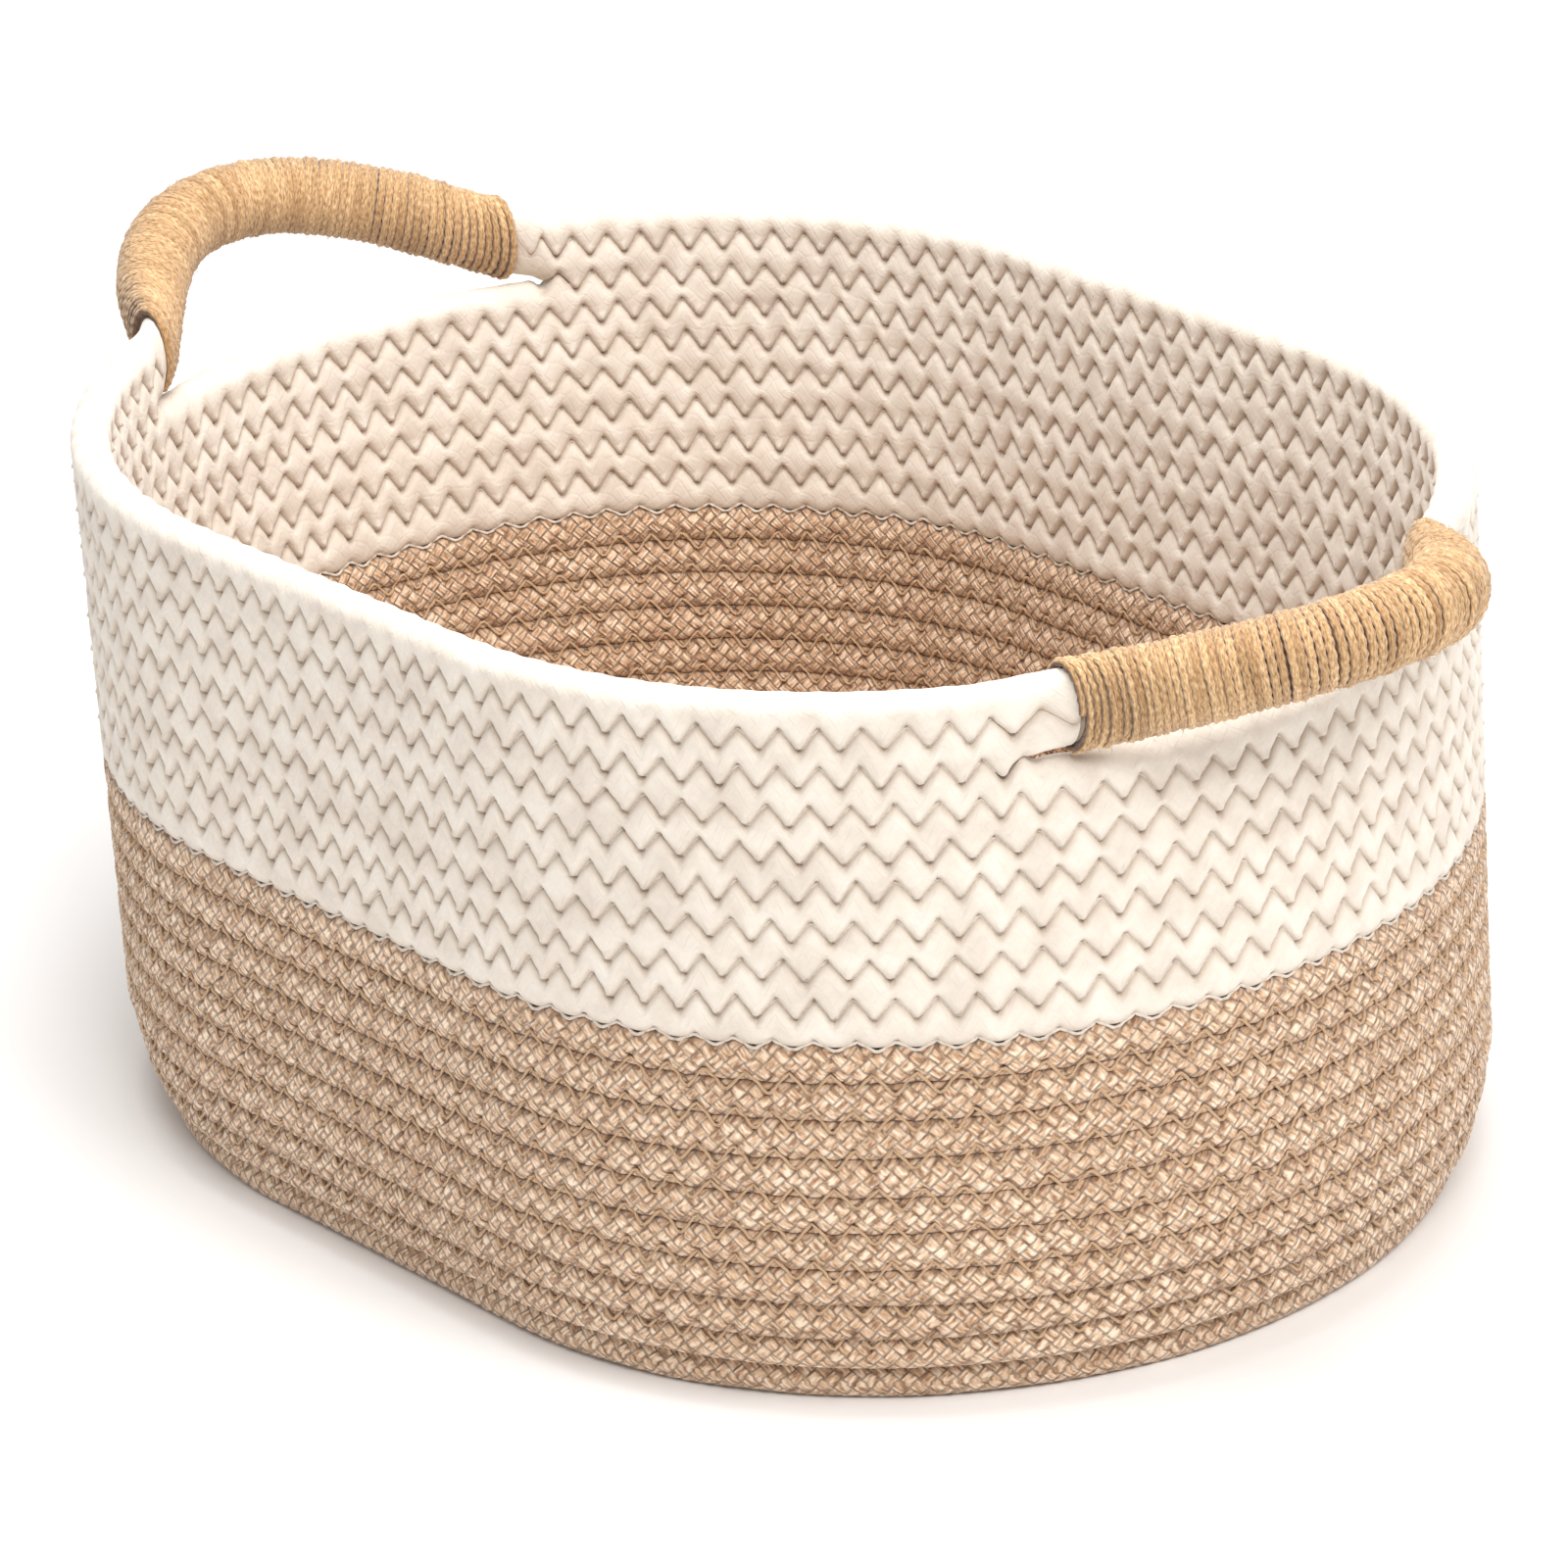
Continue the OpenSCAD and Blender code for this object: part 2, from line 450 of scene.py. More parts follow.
def white_rope_material():
    surface = Surface("white_cotton_rope", 0.82, 0.3)
    streak, crown, yarn = braided(surface, 3.0)
    place_at = surface.add("TexCoord", {}, output=3)
    colour = surface.ramp(
        surface.noise(place_at, 95.0, 3.0),
        [(0.35, (0.69, 0.61, 0.53)), (0.50, (0.75, 0.675, 0.59)), (0.66, (0.79, 0.725, 0.645))],
    )
    streaked = surface.mix(
        1.0, colour, surface.grey(surface.range(streak, 0.3, 0.7, 0.95, 1.0)), "MULTIPLY"
    )
    fibres = surface.sum("MULTIPLY_ADD", streak, 0.6, surface.sum("MULTIPLY", yarn, 0.25))
    height = surface.sum("MULTIPLY_ADD", crown, 0.35, fibres)
    # Painted shade in the seams and needle holes, and on the strands under the twine, greyish brown
    return surface.finish(surface.grooved(streaked, (0.60, 0.51, 0.43)), height, 0.16 * MM)


def twine_material():
    surface = Surface("jute_twine", 0.84, 0.3)
    along, around = surface.rope_map()
    streak = surface.noise(surface.vector(along, surface.sum("MULTIPLY", around, 2.2)), 1.6, 3.0)
    turn = surface.noise(surface.vector(surface.sum("MULTIPLY", along, 0.05), 0.0), 1.0)
    flecks = surface.ramp(
        streak,
        [(0.30, (0.31, 0.165, 0.07)), (0.48, (0.56, 0.345, 0.16)), (0.66, (0.79, 0.57, 0.33))],
    )
    shade = surface.ramp(turn, [(0.38, (0.66, 0.59, 0.51)), (0.60, (1.0, 1.0, 1.0))])
    # Painted shade on the twine's inner side and flanks, and on the under layer between turns
    colour = surface.grooved(surface.mix(1.0, flecks, shade, "MULTIPLY"), (0.25, 0.18, 0.12))
    return surface.finish(colour, streak, 0.35 * MM)


def thread_material(name, twist_shade, pale):
    surface = Surface(name, 0.7, 0.1)
    along, around = surface.rope_map()
    twist = surface.sum("PINGPONG", surface.sum("MULTIPLY_ADD", along, 2.0, around), 0.5)
    # Painted shade: the first colour lies down between the plies of the twist
    colour = surface.ramp(twist, [(0.0, twist_shade), (0.4, pale)])
    return surface.finish(colour, twist, 0.1 * MM)


# ---------------------------------------------------------------- seams
class Seam:
    """One line of zigzag stitches. reach is how far its stack of ropes has got, up or outwards."""

    def __init__(self, number, reach, edge_swing, swing, waves):
        self.number = number
        self.reach = reach
        self.edge_swing = edge_swing
        self.swing = swing
        self.waves = waves

    def wave(self, way):
        """Where along its zigzag each stop is, in whole waves."""
        share = way.share
        drift = 0.22 * np.sin(2 * np.pi * (3 * share + 0.31 * self.number))
        jitter = 0.03 * np.sin(2 * np.pi * (29 * share + 0.57 * self.number))
        return self.waves * share + GOLDEN * self.number + drift + jitter

    def line(self, way):
        """The middle of the seam, a little uneven."""
        share = way.share
        slow = 0.30 * np.sin(2 * np.pi * (2 * share + 0.17 * self.number))
        quick = 0.16 * np.sin(2 * np.pi * (9 * share + 0.43 * self.number))
        return self.reach + (slow + quick) * MM * (self.swing > 0)

    def stroke(self, way):
        """The zigzag from about -1 to 1, with stitches that aren't all quite as wide."""
        uneven = np.sin(2 * np.pi * (37 * way.share + 0.29 * self.number))
        return zigzag(self.wave(way)) * (1 + 0.1 * uneven)

    def edge(self, way, near=1.0):
        """Where the two ropes meet."""
        return self.line(way) + self.edge_swing * near * self.stroke(way)

    def thread(self, way):
        return self.line(way) + self.swing * self.stroke(way)

    def spot(self, way, reach, corner, lift=0.0, size=HOLE_R):
        """How near each place is to an upper (1) or lower (-1) corner of the zigzag, from 0 to 1."""
        off = ((self.wave(way)[:, None] + 0.25 * corner) % 1 - 0.5) * WAVE
        rise = reach - self.line(way)[:, None] - corner * self.swing - lift
        return np.exp(-(off**2 + rise**2) / (2 * size**2)) * (self.swing > 0)

    def holes(self, way, reach):
        return self.spot(way, reach, 1) + self.spot(way, reach, -1)

    def beads(self, way, reach):
        """The small tight lumps of rope just above the lower needle holes."""
        return self.spot(way, reach, -1, 2 * BEAD_R, BEAD_R) * self.edge_swing / SWING

    def dent(self, way, reach):
        """How near each place is to the thread, from 0 to 1."""
        rise = (reach - self.thread(way)[:, None]) * 0.65
        return np.exp(-(rise**2) / (2 * DENT_R**2)) * (self.swing > 0)


def swell(s, free):
    """The bulge of a rope between two seams, s from -1 to 1, rounder where the edge is free."""
    power = 1.9 + 0.1 * free
    return np.clip(1 - np.abs(s) ** power, 0, 1) ** (1 / power)


class Rope:
    """A rope between two seams, with an outer face (+1) and an inner face (-1)."""

    def __init__(self, way, low, high, crest=ROPE_R, braid=0.0, seed=0, free_low=0.0, free_high=0.0,
                 near_low=1.0, near_high=1.0):
        self.way = way
        self.low = low
        self.high = high
        self.crest = crest
        self.braid = braid
        self.seed = seed
        self.free = [np.broadcast_to(f, way.share.shape)[:, None] for f in (free_low, free_high)]
        self.bottom = (low.edge(way, near_low) + SLIT)[:, None]
        self.top = (high.edge(way, near_high) - SLIT)[:, None]

    def depth(self, reach):
        """The smooth half-thickness at a place between the seams."""
        s = np.clip(2 * (reach - self.bottom) / (self.top - self.bottom) - 1, -1, 1)
        free = np.where(s > 0, self.free[1], self.free[0])
        edge = SEAM_R * self.crest / ROPE_R * (1 - free) + FREE_EDGE_R * free
        return edge + (self.crest - edge) * swell(s, free)

    def face(self, side):
        """Reach, depth and painted shade of the points over one face, from the lower seam to the upper
        one.
        """
        share = 0.5 - 0.5 * np.cos(np.pi * np.arange(FACE_POINTS) / (FACE_POINTS - 1))
        reach = self.bottom + (self.top - self.bottom) * share
        depth = self.depth(reach)
        along = self.way.share[:, None]
        inward = UNEVEN * ripple(along, reach, self.seed + side) * (1 - np.abs(2 * share - 1) ** 4)
        groove = np.zeros_like(reach)
        edges = ((self.low, self.bottom, self.free[0]), (self.high, self.top, self.free[1]))
        for seam, edge, free in edges:
            # The needle holes are dented in; near each sewn seam and in its holes the colour gets painted
            # shade
            holes = seam.holes(self.way, reach) * (1 - free)
            inward = inward - HOLE_DEPTH * holes
            near = SEAM_SHADE * np.exp(-(((reach - edge) / PAINTED_SHADE_REACH) ** 2)) * (1 - free)
            groove = np.maximum(groove, np.maximum(near, holes))
        if self.braid:
            relief = braid_relief(self.lengths()[:, None], self.around(side))
            inward = inward + self.braid * (relief - 0.6)
            for seam in (self.low, self.high):
                inward = inward - THREAD_DENT * seam.dent(self.way, reach)
        beads = BEAD * self.low.beads(self.way, reach)
        return reach, side * (np.minimum(depth + inward, self.crest) + beads), groove

    def lengths(self):
        """How far along the rope each stop is, in strand widths along the braid. Each rope's braid
        starts somewhere else."""
        cells = round(self.way.total / CELL)
        return self.way.share * cells + GOLDEN / 100 * self.seed**2

    def around(self, side):
        """Places round the rope over one face, from the lower seam to the upper one, in strand
        widths across the braid. A half with a free edge turns in at it, so it is unrolled."""
        s = -np.cos(np.pi * np.arange(FACE_POINTS) / (FACE_POINTS - 1))
        half = (self.high.reach - self.low.reach) / 2
        free = np.where(s > 0, self.free[1].max(), self.free[0].max())
        place = half * (s * (1 - free) + np.arcsin(s) * free)
        return (side * place + math.pi * half * (side < 0)) / CELL

    def section(self):
        """Reach, depth, painted shade and place round the rope of every point, up the outer face and down
        the inner."""
        out_reach, out_depth, out_groove = self.face(1)
        in_reach, in_depth, in_groove = self.face(-1)
        reach = np.concatenate([out_reach, in_reach[:, ::-1]], 1)
        depth = np.concatenate([out_depth, in_depth[:, ::-1]], 1)
        groove = np.concatenate([out_groove, in_groove[:, ::-1]], 1)
        around = np.concatenate([self.around(1), self.around(-1)[::-1]])
        return reach, depth, groove, around


# ---------------------------------------------------------------- the wall
wall_way = Way(STRAIGHT, END_R)
WALL_WAVES = round(wall_way.total / WAVE)


def wall_seam(number):
    """The seam under a wall course, counted from 1: above the base, in the tan, or in the white."""
    first, last = 1, WALL_COURSES + 3
    if number in (first, last):
        return Seam(number, number * PITCH, 0.0, 0.0, WALL_WAVES)
    if number <= TAN_COURSES:
        return Seam(number, number * PITCH, TAN_EDGE, SWING, WALL_WAVES)
    if number == TAN_COURSES + 1:
        return Seam(number, number * PITCH, COLOUR_CHANGE_EDGE, COLOUR_CHANGE_SWING, WALL_WAVES)
    return Seam(number, number * PITCH, SWING, SWING, WALL_WAVES)


SEAMS = {number: wall_seam(number) for number in range(1, WALL_COURSES + 4)}


def beyond(way):
    """How far from the middle plane each stop is, as a share of half a handle's length."""
    return np.abs(END_R * np.sin(way.angle)) / HANDLE_HALF


def wall_node(number):
    """The CAD node of a wall course, counted from 1 above the base."""
    white = number - TAN_COURSES
    return f"white_course_{white}" if white > 0 else f"tan_course_{number}"


def tuck_of(number):
    """How much less radius and straight half-length a wall course has than the wall above it."""
    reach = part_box(wall_node(number))[1]
    radius = WALL_REACH.y - reach.y
    return np.array([radius, WALL_REACH.x - reach.x - radius])


def wall_points(way, reach, depth, tuck):
    normal_x, normal_y = way.normal()
    radius = END_R - tuck[0] + depth
    x = way.middle(STRAIGHT - tuck[1])[:, None] + radius * normal_x[:, None]
    y = radius * normal_y[:, None]
    return np.stack([x, y, reach], -1)


def build_wall_course(number, material, slot):
    node = wall_node(number)
    top_edge = number == WALL_COURSES
    free = nearer(beyond(wall_way), BARED) if top_edge else 0.0
    rope = Rope(
        wall_way,
        SEAMS[number],
        SEAMS[number + 1],
        braid=BRAID_RELIEF if number <= TAN_COURSES else 0.0,
        seed=10 * number,
        free_low=1.0 if number == 1 else 0.0,
        free_high=free,
        near_high=1 - free,
    )
    reach, depth, groove, around = rope.section()
    points = wall_points(wall_way, reach, depth, tuck_of(number))
    builder = Builder()
    builder.tube(points[:-1], rope.lengths(), around, closed=True, groove=groove[:-1])
    place(builder.make(node + "_rope", material), "basket", slot, node)


# ---------------------------------------------------------------- handles
def bow(t):
    """How much of its full height and reach a handle has at t, from -1 at one end to 1 at the other."""
    return EASE * np.log1p(np.exp((1 - np.abs(t) ** 2.2) / EASE))


def handle_line(t):
    """The middle of the right-hand handle's bundle."""
    y = t * HANDLE_HALF
    x = STRAIGHT + np.sqrt(END_R**2 - y**2) + HANDLE_OUT * bow(t)
    return np.stack([x, y, HANDLE_Z + END_LIFT + HANDLE_RISE * bow(t)], -1)


def unit(v):
    return v / np.linalg.norm(v, axis=-1, keepdims=True)


def handle_frames(t):
    """The middle, outward and upward directions of the bundle at each t. At the ends the section
    turns square to the hinge line, and narrower and taller, to hold one rope above the other."""
    along = unit(handle_line(t + 0.005) - handle_line(t - 0.005))
    turn = (np.abs(t) ** 3)[:, None]
    normal = unit(turn * np.array([0.0, 1.0, 0.0]) + (1 - turn) * along)
    up = unit(np.array([0.0, 0.0, 1.0]) - normal * normal[:, 2:])
    late = (t**4)[:, None]
    return handle_line(t), np.cross(normal, up) * (1 - END_NARROW * late), up * (1 + END_TALL * late)


def even_stops(count, end=1.0):
    """Values of t that lie evenly along a handle's bundle."""
    t = np.linspace(-end, end, 2001)
    steps = np.linalg.norm(np.diff(handle_line(t), axis=0), axis=1)
    lengths = np.concatenate([[0], np.cumsum(steps)])
    return np.interp(np.linspace(0, lengths[-1], count), lengths, t), lengths[-1]


def sided(points, side):
    """Turns the right-hand handle half round for the left-hand one."""
    return points * np.array([-1.0, -1.0, 1.0]) if side == "left" else points


def build_strand(side, level, name, material):
    """One of the two ropes inside the twine, pressed to half of a round bundle."""
    t, length = even_stops(HANDLE_STOPS)
    middle, out, up = handle_frames(t)
    half = np.linspace(0, np.pi, 12) + (np.pi if level < 0 else 0)
    radius = BUNDLE_R - 0.5 * MM
    across = radius * np.cos(half)
    rise = radius * np.sin(half) + level * 0.06 * MM
    points = middle[:, None] + out[:, None] * across[:, None] + up[:, None] * rise[:, None]
    builder = Builder()
    cells = np.linspace(0, length / CELL, len(t))
    # Painted shade: the strands are coloured in full shade under the twine
    full_painted_shade = np.ones(points.shape[:2])
    builder.tube(sided(points, side), cells, np.linspace(0, 5, len(half)), groove=full_painted_shade)
    node = f"{side}_handle_{name}"
    place(builder.make(node + "_rope", material), f"{side}_handle", "white_rope", node)


def twine_line(turns, seed):
    """The middle of the twine as it winds round the bundle, and the outward direction there."""
    t_even, _ = even_stops(4001, TWINE_END)
    share = np.linspace(0, 1, turns * TURN_STOPS + 1)
    rng = np.random.default_rng(seed)
    loose = rng.uniform(-1, 1, turns + 3)
    sag = np.interp(share * turns, np.arange(turns + 3) - 1, loose)
    uneven = rng.uniform(-1, 1, turns + 3)
    lead = np.interp(share * turns, np.arange(turns + 3) - 1, uneven)
    ends = smooth(share * turns) * smooth((1 - share) * turns)
    t = np.interp(share + TWINE_LEAD * lead * ends / turns, np.linspace(0, 1, len(t_even)), t_even)
    middle, out, up = handle_frames(t)
    angle = 2 * np.pi * share * turns
    radial = out * np.cos(angle)[:, None] + up * np.sin(angle)[:, None]
    radius = BUNDLE_R + TWINE_R * 0.97 + TWINE_SAG * sag
    return middle + radial * radius[:, None], radial


def twine_tube(builder, line, radial, radius, seed):
    """Two plies twisted round each other, along the line."""
    along = unit(np.gradient(line, axis=0))
    side = unit(np.cross(along, radial))
    lift = np.cross(side, along)
    steps = np.linalg.norm(np.diff(line, axis=0), axis=1)
    lengths = np.concatenate([[0], np.cumsum(steps)])
    around = np.linspace(0, 2 * np.pi, 10, endpoint=False)
    twist = 2 * np.pi * lengths / TWINE_TWIST
    rng = np.random.default_rng(seed)
    knots = np.arange(0, lengths[-1] + 2 * TWINE_KNOTS, TWINE_KNOTS)
    fat = np.interp(lengths, knots, 1 + 0.1 * rng.uniform(-1, 1, len(knots)))
    lobes = 1 + 0.15 * np.cos(2 * (around[None] - twist[:, None]))
    size = radius * fat[:, None] * lobes
    points = (
        line[:, None]
        + side[:, None] * (size * np.cos(around))[..., None]
        + lift[:, None] * (size * np.sin(around))[..., None]
    )
    # Painted shade on the side of the twine that faces the bundle, and on its flanks
    groove = np.broadcast_to(np.clip(1.1 - 2.2 * np.sin(around), 0, 1), size.shape)
    builder.tube(points, lengths / TWINE_CELL, np.linspace(0, 4, len(around)), groove=groove)


def twine_bed(builder, side):
    """The twine's under layer, in full painted shade, which shows as dark shade between turns that lie
    apart.
    """
    t, _ = even_stops(HANDLE_STOPS, BED_END)
    middle, out, up = handle_frames(t)
    angle = np.linspace(0, 2 * np.pi, 32, endpoint=False)[None, :, None]
    points = middle[:, None] + BED_R * (out[:, None] * np.cos(angle) + up[:, None] * np.sin(angle))
    # Painted shade: the whole under layer is coloured in full shade
    full_painted_shade = np.ones(points.shape[:2])
    builder.tube(sided(points, side), np.arange(len(t)) * 1.0, np.arange(32.0), groove=full_painted_shade)


def add_hairs(builder, line, radial, count, seed):
    """Loose fibres that stand out of the twine."""
    rng = np.random.default_rng(seed)
    along = unit(np.gradient(line, axis=0))
    for at in rng.integers(2, len(line) - 2, count):
        out = radial[at]
        lean = unit(out * rng.uniform(0.2, 1.0) + along[at] * rng.normal(0, 1.0) + rng.normal(0, 0.4, 3))
        curl = rng.normal(0, 0.5, 3)
        length = rng.uniform(1.0, 3.4) * MM
        root = line[at] + out * TWINE_R * 0.7
        share = np.linspace(0, 1, 4)
        path = root + length * (lean * share[:, None] + curl * (share[:, None] ** 2) * 0.5)
        first = unit(np.cross(lean, out + 0.01))
        second = np.cross(lean, first)
        corner = 2 * np.pi * np.arange(3) / 3
        ring = first * np.cos(corner)[:, None] + second * np.sin(corner)[:, None]
        width = HAIR_R * (1.15 - share)
        points = path[:, None] + ring[None] * width[:, None, None]
        builder.tube(points, share * 2 + at, np.arange(3.0))


def build_twine(side, material):
    seed = 5 if side == "left" else 11
    line, radial = twine_line(TWINE_TURNS, seed)
    line, radial = sided(line, side), sided(radial, side)
    builder = Builder()
    twine_bed(builder, side)
    twine_tube(builder, line, radial, TWINE_R, seed)
    add_hairs(builder, line, radial, HAIRS, seed)
    node = f"{side}_handle_twine"
    place(builder.make(node + "_winding", material), f"{side}_handle", "jute_twine", node)


# ---------------------------------------------------------------- the two handle courses
def side_stops(side, clear):
    """Where the way along the front (-1) or back (1) long side starts and stops, when it keeps this
    much clear of the two handles' ends."""
    turn = math.asin((HANDLE_HALF + clear) / END_R) * END_R
    half = wall_way.total / 2
    return (turn, half - turn) if side > 0 else (half + turn, wall_way.total - turn)


def flared(way, reach, depth):
    """Leads the two handle courses out, up and together to the round bundle inside the twine."""
    t = beyond(way)[:, None]
    lift = HANDLE_RISE * bow(t) + END_LIFT * nearer(t, LIFTED)
    squeeze = nearer(t, SQUEEZED)
    half_height = BUNDLE_R * (1 + END_TALL)
    rise = (reach - HANDLE_Z) * (1 - squeeze * (1 - half_height / PITCH))
    round_share = np.sqrt(np.clip(1 - (rise / half_height) ** 2, 0.001, None))
    round_depth = np.sign(depth) * BUNDLE_R * (1 - END_NARROW) * round_share
    across = depth * (1 - squeeze) + round_depth * squeeze
    normal_x, normal_y = way.normal()
    point_x = way.middle(STRAIGHT)[:, None] + END_R * normal_x[:, None]
    point_y = END_R * normal_y[:, None] * np.ones_like(depth)
    end_x = np.sign(normal_x)[:, None]
    lean_x = normal_x[:, None] * (1 - squeeze) + end_x * squeeze
    lean_y = normal_y[:, None] * (1 - squeeze)
    size = np.hypot(lean_x, lean_y)
    x = point_x + end_x * HANDLE_OUT * bow(t) + across * lean_x / size
    y = point_y + across * lean_y / size
    return np.stack([x, y, HANDLE_Z + lift + rise], -1)


def side_rope(level, way):
    """The lower (1) or upper (2) handle course along the way."""
    number = WALL_COURSES + level
    apart = nearer(beyond(way), PARTED)
    return Rope(
        way,
        SEAMS[number],
        SEAMS[number + 1],
        seed=10 * number,
        free_low=apart if level == 1 else 0.0,
        free_high=1.0 if level == 2 else 0.0,
        near_low=1 - apart if level == 1 else 1.0,
    )


def side_length(level, start, stop, name, material):
    """One of the two handle courses, from start to stop along the way round."""
    way = Way(STRAIGHT, END_R, start=start, stop=stop)
    rope = side_rope(level, way)
    reach, depth, groove, around = rope.section()
    builder = Builder()
    builder.tube(flared(way, reach, depth), rope.lengths(), around, groove=groove)
    return builder.make(name, material)


def build_tail(level, start, stop, name, material):
    """The last of a side rope, which bends between the wall and the handle."""
    piece = side_length(level, start, stop, name, material)
    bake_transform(piece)


def build_side_rope(level, side, node, material):
    outer = side_stops(side, 0)
    inner = side_stops(side, TAIL)
    place(side_length(level, *inner, node + "_rope", material), "basket", "white_rope", node)
    first, last = ("right", "left") if side > 0 else ("left", "right")
    build_tail(level, outer[0], inner[0], f"{node}_{first}_end", material)
    build_tail(level, inner[1], outer[1], f"{node}_{last}_end", material)


# ---------------------------------------------------------------- base
BASE_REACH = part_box(f"base_coil_{BASE_COILS}")[1]
COIL_PITCH = BASE_REACH.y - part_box(f"base_coil_{BASE_COILS - 1}")[1].y
BASE_STRAIGHT = BASE_REACH.x - BASE_REACH.y
BASE_Z = BASE_REACH.z / 2


def base_seam(number):
    """The seam outside a coil, or the closed middle (0) and the free outside of the base."""
    reach = number * COIL_PITCH
    sewn = 0 < number < BASE_COILS
    around = 4 * BASE_STRAIGHT + 2 * math.pi * reach
    return Seam(number, reach, 0.0, SWING if sewn else 0.0, round(around / WAVE))


def build_base_coil(number, material):
    node = f"base_coil_{number}"
    way = Way(BASE_STRAIGHT, (number - 0.5) * COIL_PITCH, step=BASE_STEP)
    rope = Rope(way, base_seam(number - 1), base_seam(number), crest=COIL_R, braid=BRAID_RELIEF,
                seed=700 + number, free_high=1.0 if number == BASE_COILS else 0.0)
    reach, depth, groove, around = rope.section()
    normal_x, normal_y = way.normal()
    x = way.middle(BASE_STRAIGHT)[:, None] + reach * normal_x[:, None]
    y = reach * normal_y[:, None]
    points = np.stack([x, y, BASE_Z - depth], -1)
    builder = Builder()
    builder.tube(points[:-1], rope.lengths(), around, closed=True, groove=groove[:-1])
    place(builder.make(node + "_rope", material), "basket", "tan_rope", node)


# ---------------------------------------------------------------- stitching
def thread_tube(builder, points, closed):
    """A thin round thread along the points."""
    ahead = np.roll(points, -1, 0) - np.roll(points, 1, 0)
    if not closed:
        ahead[0], ahead[-1] = points[1] - points[0], points[-1] - points[-2]
    along = unit(ahead)
    side = unit(np.cross(along, np.array([0.13, 0.21, 1.0])))
    lift = np.cross(side, along)
    around = np.linspace(0, 2 * np.pi, 5, endpoint=False)
    ring = side[:, None] * np.cos(around)[:, None] + lift[:, None] * np.sin(around)[:, None]
    count = len(points) + 1 if closed else len(points)
    builder.tube(points[:, None] + THREAD_R * ring, np.arange(count) * 0.5, np.arange(5.0), closed)


def thread_depth(seam, way, below, above):
    """How deep the thread lies: on the rope's surface, and down into the cloth at the needle holes."""
    reach = seam.thread(way)[:, None]
    depth = np.where(reach < seam.line(way)[:, None], below.depth(reach), above.depth(reach))
    corner = np.abs(zigzag(seam.wave(way))) ** 14
    return depth[:, 0] - THREAD_SINK - CORNER_SINK * corner


def wall_threads(builder, number):
    way = Way(STRAIGHT, END_R, step=THREAD_STEP)
    seam = SEAMS[number]
    tuck = (tuck_of(number - 1) + tuck_of(number)) / 2
    below = Rope(way, SEAMS[number - 1], seam)
    above = Rope(way, seam, SEAMS[number + 1])
    depth = thread_depth(seam, way, below, above)
    for side in (-1, 1):
        points = wall_points(way, seam.thread(way)[:, None], side * depth[:, None], tuck)
        thread_tube(builder, points[:-1, 0], True)


def side_threads(builder, number, side):
    level = number - WALL_COURSES
    start, stop = side_stops(side, TAIL)
    way = Way(STRAIGHT, END_R, step=THREAD_STEP, start=start, stop=stop)
    seam = SEAMS[number]
    above = side_rope(level, way)
    below = side_rope(level - 1, way) if level > 1 else Rope(way, SEAMS[number - 1], seam)
    depth = thread_depth(seam, way, below, above)
    for face in (-1, 1):
        points = flared(way, seam.thread(way)[:, None], face * depth[:, None])
        thread_tube(builder, points[:, 0], False)


def base_threads(builder, number):
    way = Way(BASE_STRAIGHT, number * COIL_PITCH, step=BASE_THREAD_STEP)
    seam = base_seam(number)
    below = Rope(way, base_seam(number - 1), seam, crest=COIL_R)
    above = Rope(way, seam, base_seam(number + 1), crest=COIL_R)
    depth = np.minimum(thread_depth(seam, way, below, above), COIL_R - THREAD_R)
    normal_x, normal_y = way.normal()
    reach = seam.thread(way)
    for face in (-1, 1):
        x = way.middle(BASE_STRAIGHT) + reach * normal_x
        points = np.stack([x, reach * normal_y, BASE_Z - face * depth], -1)
        thread_tube(builder, points[:-1], True)


def build_stitching(node, slot, material, lay):
    builder = Builder()
    lay(builder)
    place(builder.make(node + "_thread", material), "basket", slot, node)


def lay_base(builder):
    for number in range(1, BASE_COILS):
        base_threads(builder, number)


def lay_tan(builder):
    for number in range(2, TAN_COURSES + 1):
        wall_threads(builder, number)


def lay_white(builder):
    for number in range(TAN_COURSES + 1, WALL_COURSES + 1):
        wall_threads(builder, number)
    for number in (WALL_COURSES + 1, WALL_COURSES + 2):
        for side in (-1, 1):
            side_threads(builder, number, side)


# ---------------------------------------------------------------- stage
def build_camera():
    azimuth, elevation, roll = (math.radians(a) for a in (CAMERA_TURN, CAMERA_RISE, CAMERA_TILT))
    back = Vector((
        math.sin(azimuth) * math.cos(elevation),
        -math.cos(azimuth) * math.cos(elevation),
        math.sin(elevation),
    ))
    level = Vector((math.cos(azimuth), math.sin(azimuth), 0))
    upright = back.cross(level)
    right = level * math.cos(roll) + upright * math.sin(roll)
    up = upright * math.cos(roll) - level * math.sin(roll)
    data = bpy.data.cameras.new("camera")
    data.lens = CAMERA_LENS
    data.clip_end = 20
    camera = bpy.data.objects.new("camera", data)
    turn = Matrix((right, up, back)).transposed().to_4x4()
    shift = CAMERA_SHIFT[0] * right + CAMERA_SHIFT[1] * up
    place_at = Vector((0, 0, CAMERA_AIM)) + shift + CAMERA_DISTANCE * back
    camera.matrix_world = Matrix.Translation(place_at) @ turn
    bpy.context.scene.collection.objects.link(camera)
    bpy.context.scene.camera = camera


def build_floor():
    half = 6.0
    corners = [(-half, -half, 0), (half, -half, 0), (half, half, 0), (-half, half, 0)]
    mesh = bpy.data.meshes.new("floor")
    mesh.from_pydata(corners, [], [(0, 1, 2, 3)])
    surface = Surface("pale_floor", 0.9, 0.0)
    surface.shader.inputs["Base Color"].default_value = (0.93, 0.93, 0.93, 1)
    mesh.materials.append(surface.material)
    floor = bpy.data.objects.new("floor", mesh)
    bpy.context.scene.collection.objects.link(floor)


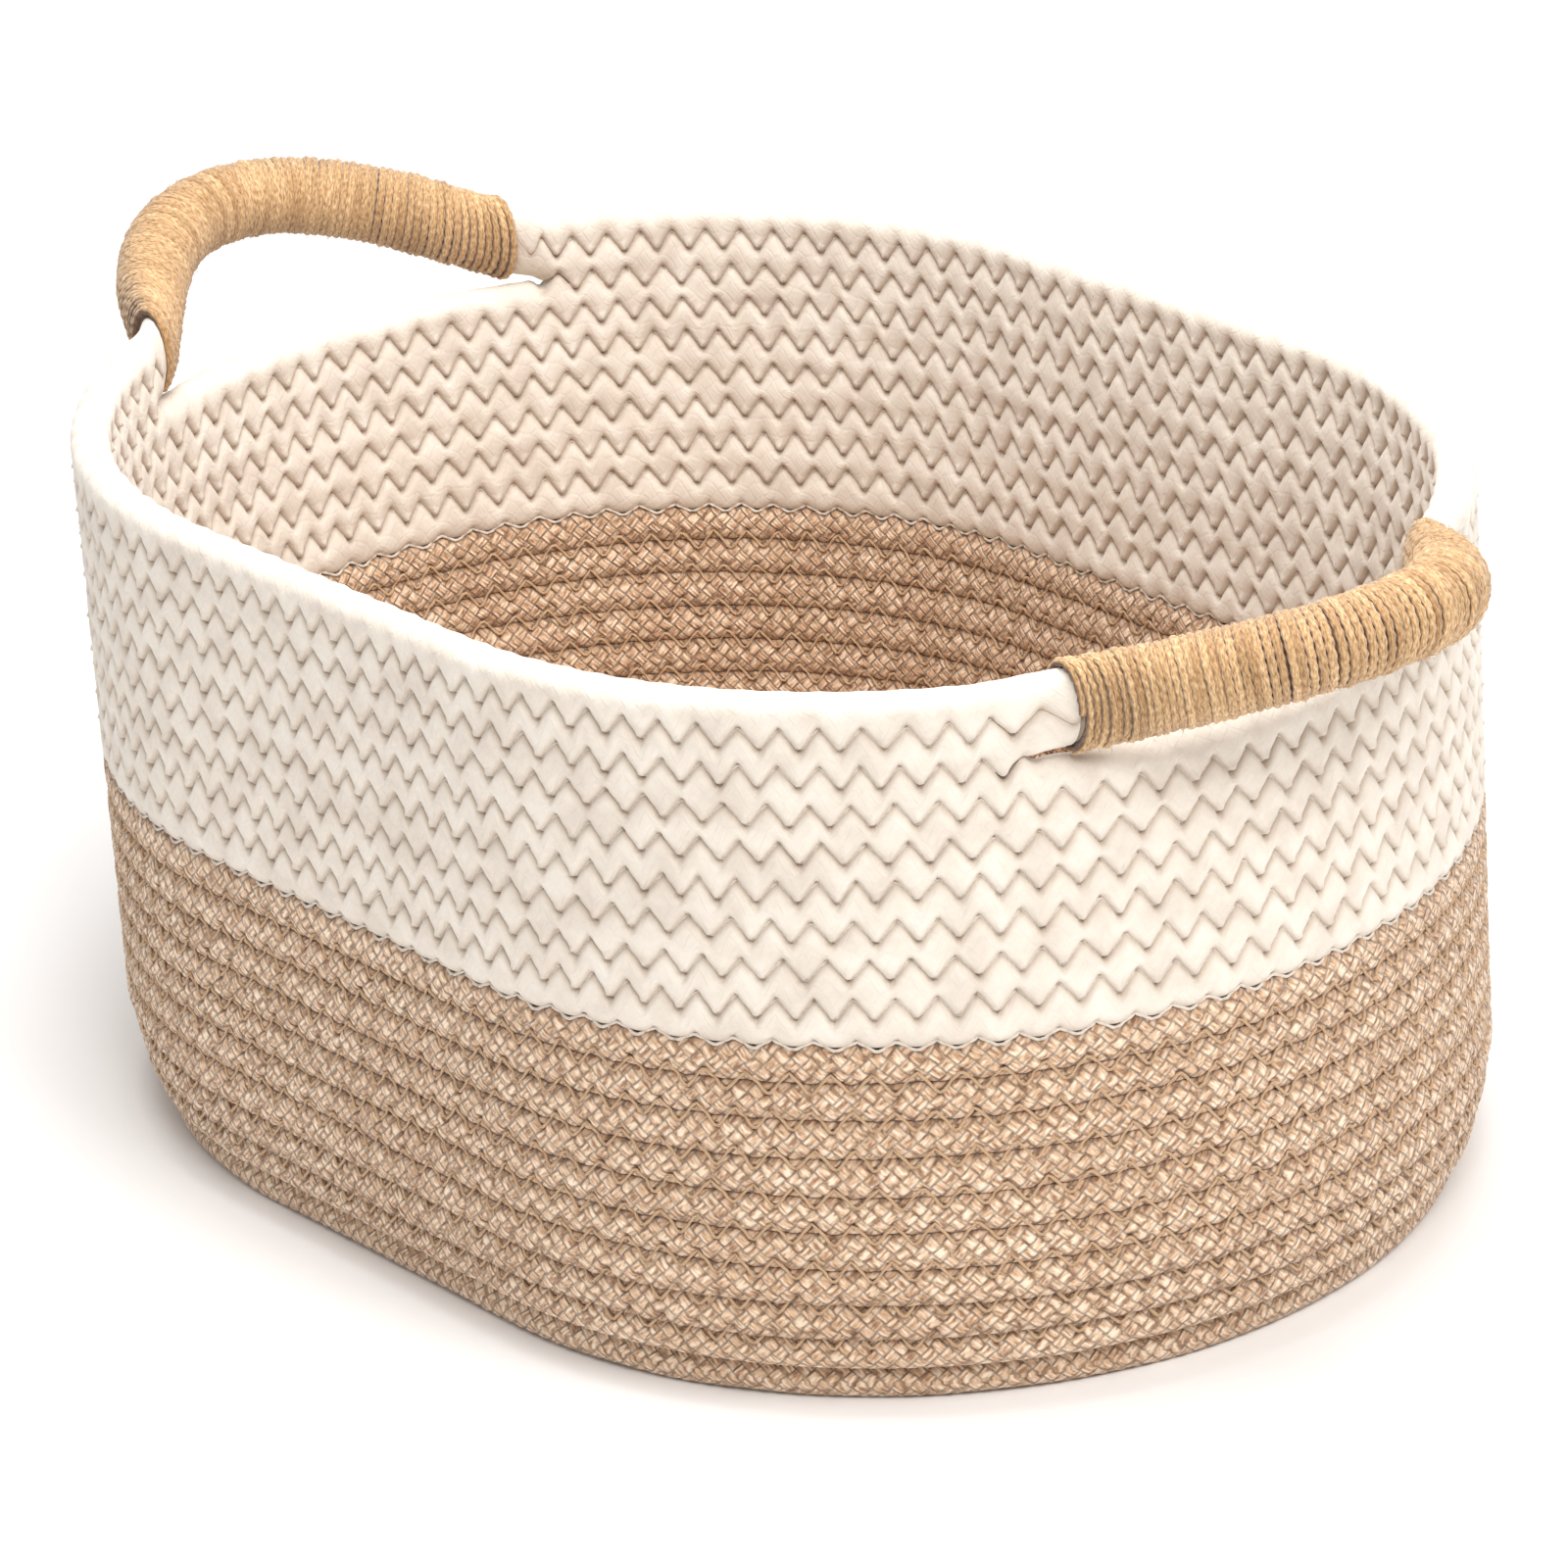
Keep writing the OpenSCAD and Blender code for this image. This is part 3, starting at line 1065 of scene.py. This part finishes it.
def area_light(name, place_at, aim, size, energy, colour):
    data = bpy.data.lights.new(name, "AREA")
    data.shape = "DISK"
    data.size = size
    data.energy = energy
    data.color = colour
    light = bpy.data.objects.new(name, data)
    light.location = place_at
    light.rotation_euler = (Vector(aim) - Vector(place_at)).to_track_quat("-Z", "Y").to_euler()
    bpy.context.scene.collection.objects.link(light)


def build_lights():
    world = bpy.data.worlds.new("studio")
    bpy.context.scene.world = world
    world.use_nodes = True
    world.node_tree.nodes["Background"].inputs["Color"].default_value = SKY_COLOUR
    world.node_tree.nodes["Background"].inputs["Strength"].default_value = SKY_STRENGTH
    area_light("key", (1.9, 0.2, 2.0), (0, 0, 0.1), 1.6, 32, KEY_COLOUR)
    area_light("top", (-0.2, 0.2, 2.6), (0, 0, 0.1), 1.8, 36, LAMP_COLOUR)
    area_light("front", (1.7, -1.1, 2.2), (0, 0, 0.1), 1.0, 24, LAMP_COLOUR)
    area_light("inside", (0.06, -0.06, 0.64), (0.08, 0.04, 0.1), 0.3, 1.9, LAMP_COLOUR)
    bpy.context.scene.view_settings.view_transform = "Standard"


# ---------------------------------------------------------------- everything
build_camera()
build_floor()
build_lights()

tan = tan_rope_material()
white = white_rope_material()
twine = twine_material()
tan_thread = thread_material("tan_sewing_thread", (0.36, 0.22, 0.12), (0.62, 0.43, 0.27))
# The white thread is the rope's cream; its darker colour is painted shade
white_thread = thread_material("white_sewing_thread", (0.56, 0.49, 0.42), (0.74, 0.67, 0.59))

for coil in range(1, BASE_COILS + 1):
    build_base_coil(coil, tan)
for course in range(1, TAN_COURSES + 1):
    build_wall_course(course, tan, "tan_rope")
for course in range(TAN_COURSES + 1, WALL_COURSES + 1):
    build_wall_course(course, white, "white_rope")
for level, rope_name in ((1, "second_rope"), (2, "rim_rope")):
    for side, side_name in ((-1, "front"), (1, "back")):
        build_side_rope(level, side, f"{rope_name}_{side_name}", white)
for side_name in ("left", "right"):
    build_strand(side_name, 1, "rim_strand", white)
    build_strand(side_name, -1, "lower_strand", white)
    build_twine(side_name, twine)
build_stitching("base_stitching", "tan_thread", tan_thread, lay_base)
build_stitching("tan_stitching", "tan_thread", tan_thread, lay_tan)
build_stitching("white_stitching", "white_thread", white_thread, lay_white)
